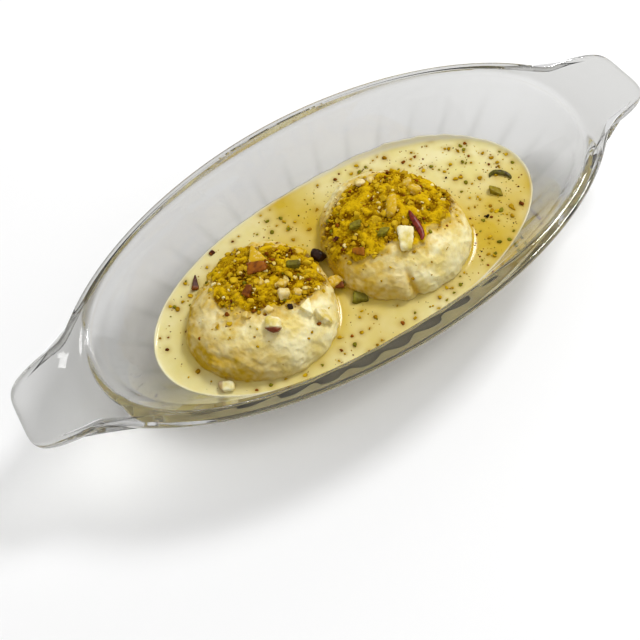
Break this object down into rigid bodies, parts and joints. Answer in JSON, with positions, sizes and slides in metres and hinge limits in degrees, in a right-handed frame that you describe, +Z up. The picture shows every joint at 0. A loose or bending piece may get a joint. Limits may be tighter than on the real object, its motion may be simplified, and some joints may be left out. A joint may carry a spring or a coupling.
{
  "type": "dish of rasmalai",
  "caption": "Oval pressed-glass boat with flat tab handles, holding domed curd patties topped with ground nuts in shallow saffron cream.",
  "frame": {"origin": "under the middle of the dish, in the plane of its flat foot", "axes": "+X along the dish to its right-hand tab handle, +Y across it to the far side, +Z up"},
  "size_m": [0.23, 0.0974, 0.04],
  "materials": {
    "pressed_glass": "clear, glossy, fire-polished soda-lime glass",
    "saffron_cream": "wet, opaque pale-yellow saffron milk with specks of nut",
    "curd_patty": "soft ivory curd, moist, dusted with mustard-yellow ground nuts"
  },
  "bodies": {
    "root": {"glass_dish": "pressed_glass", "cream": "saffron_cream", "patty_left": "curd_patty", "patty_right": "curd_patty"}
  },
  "joints": []
}
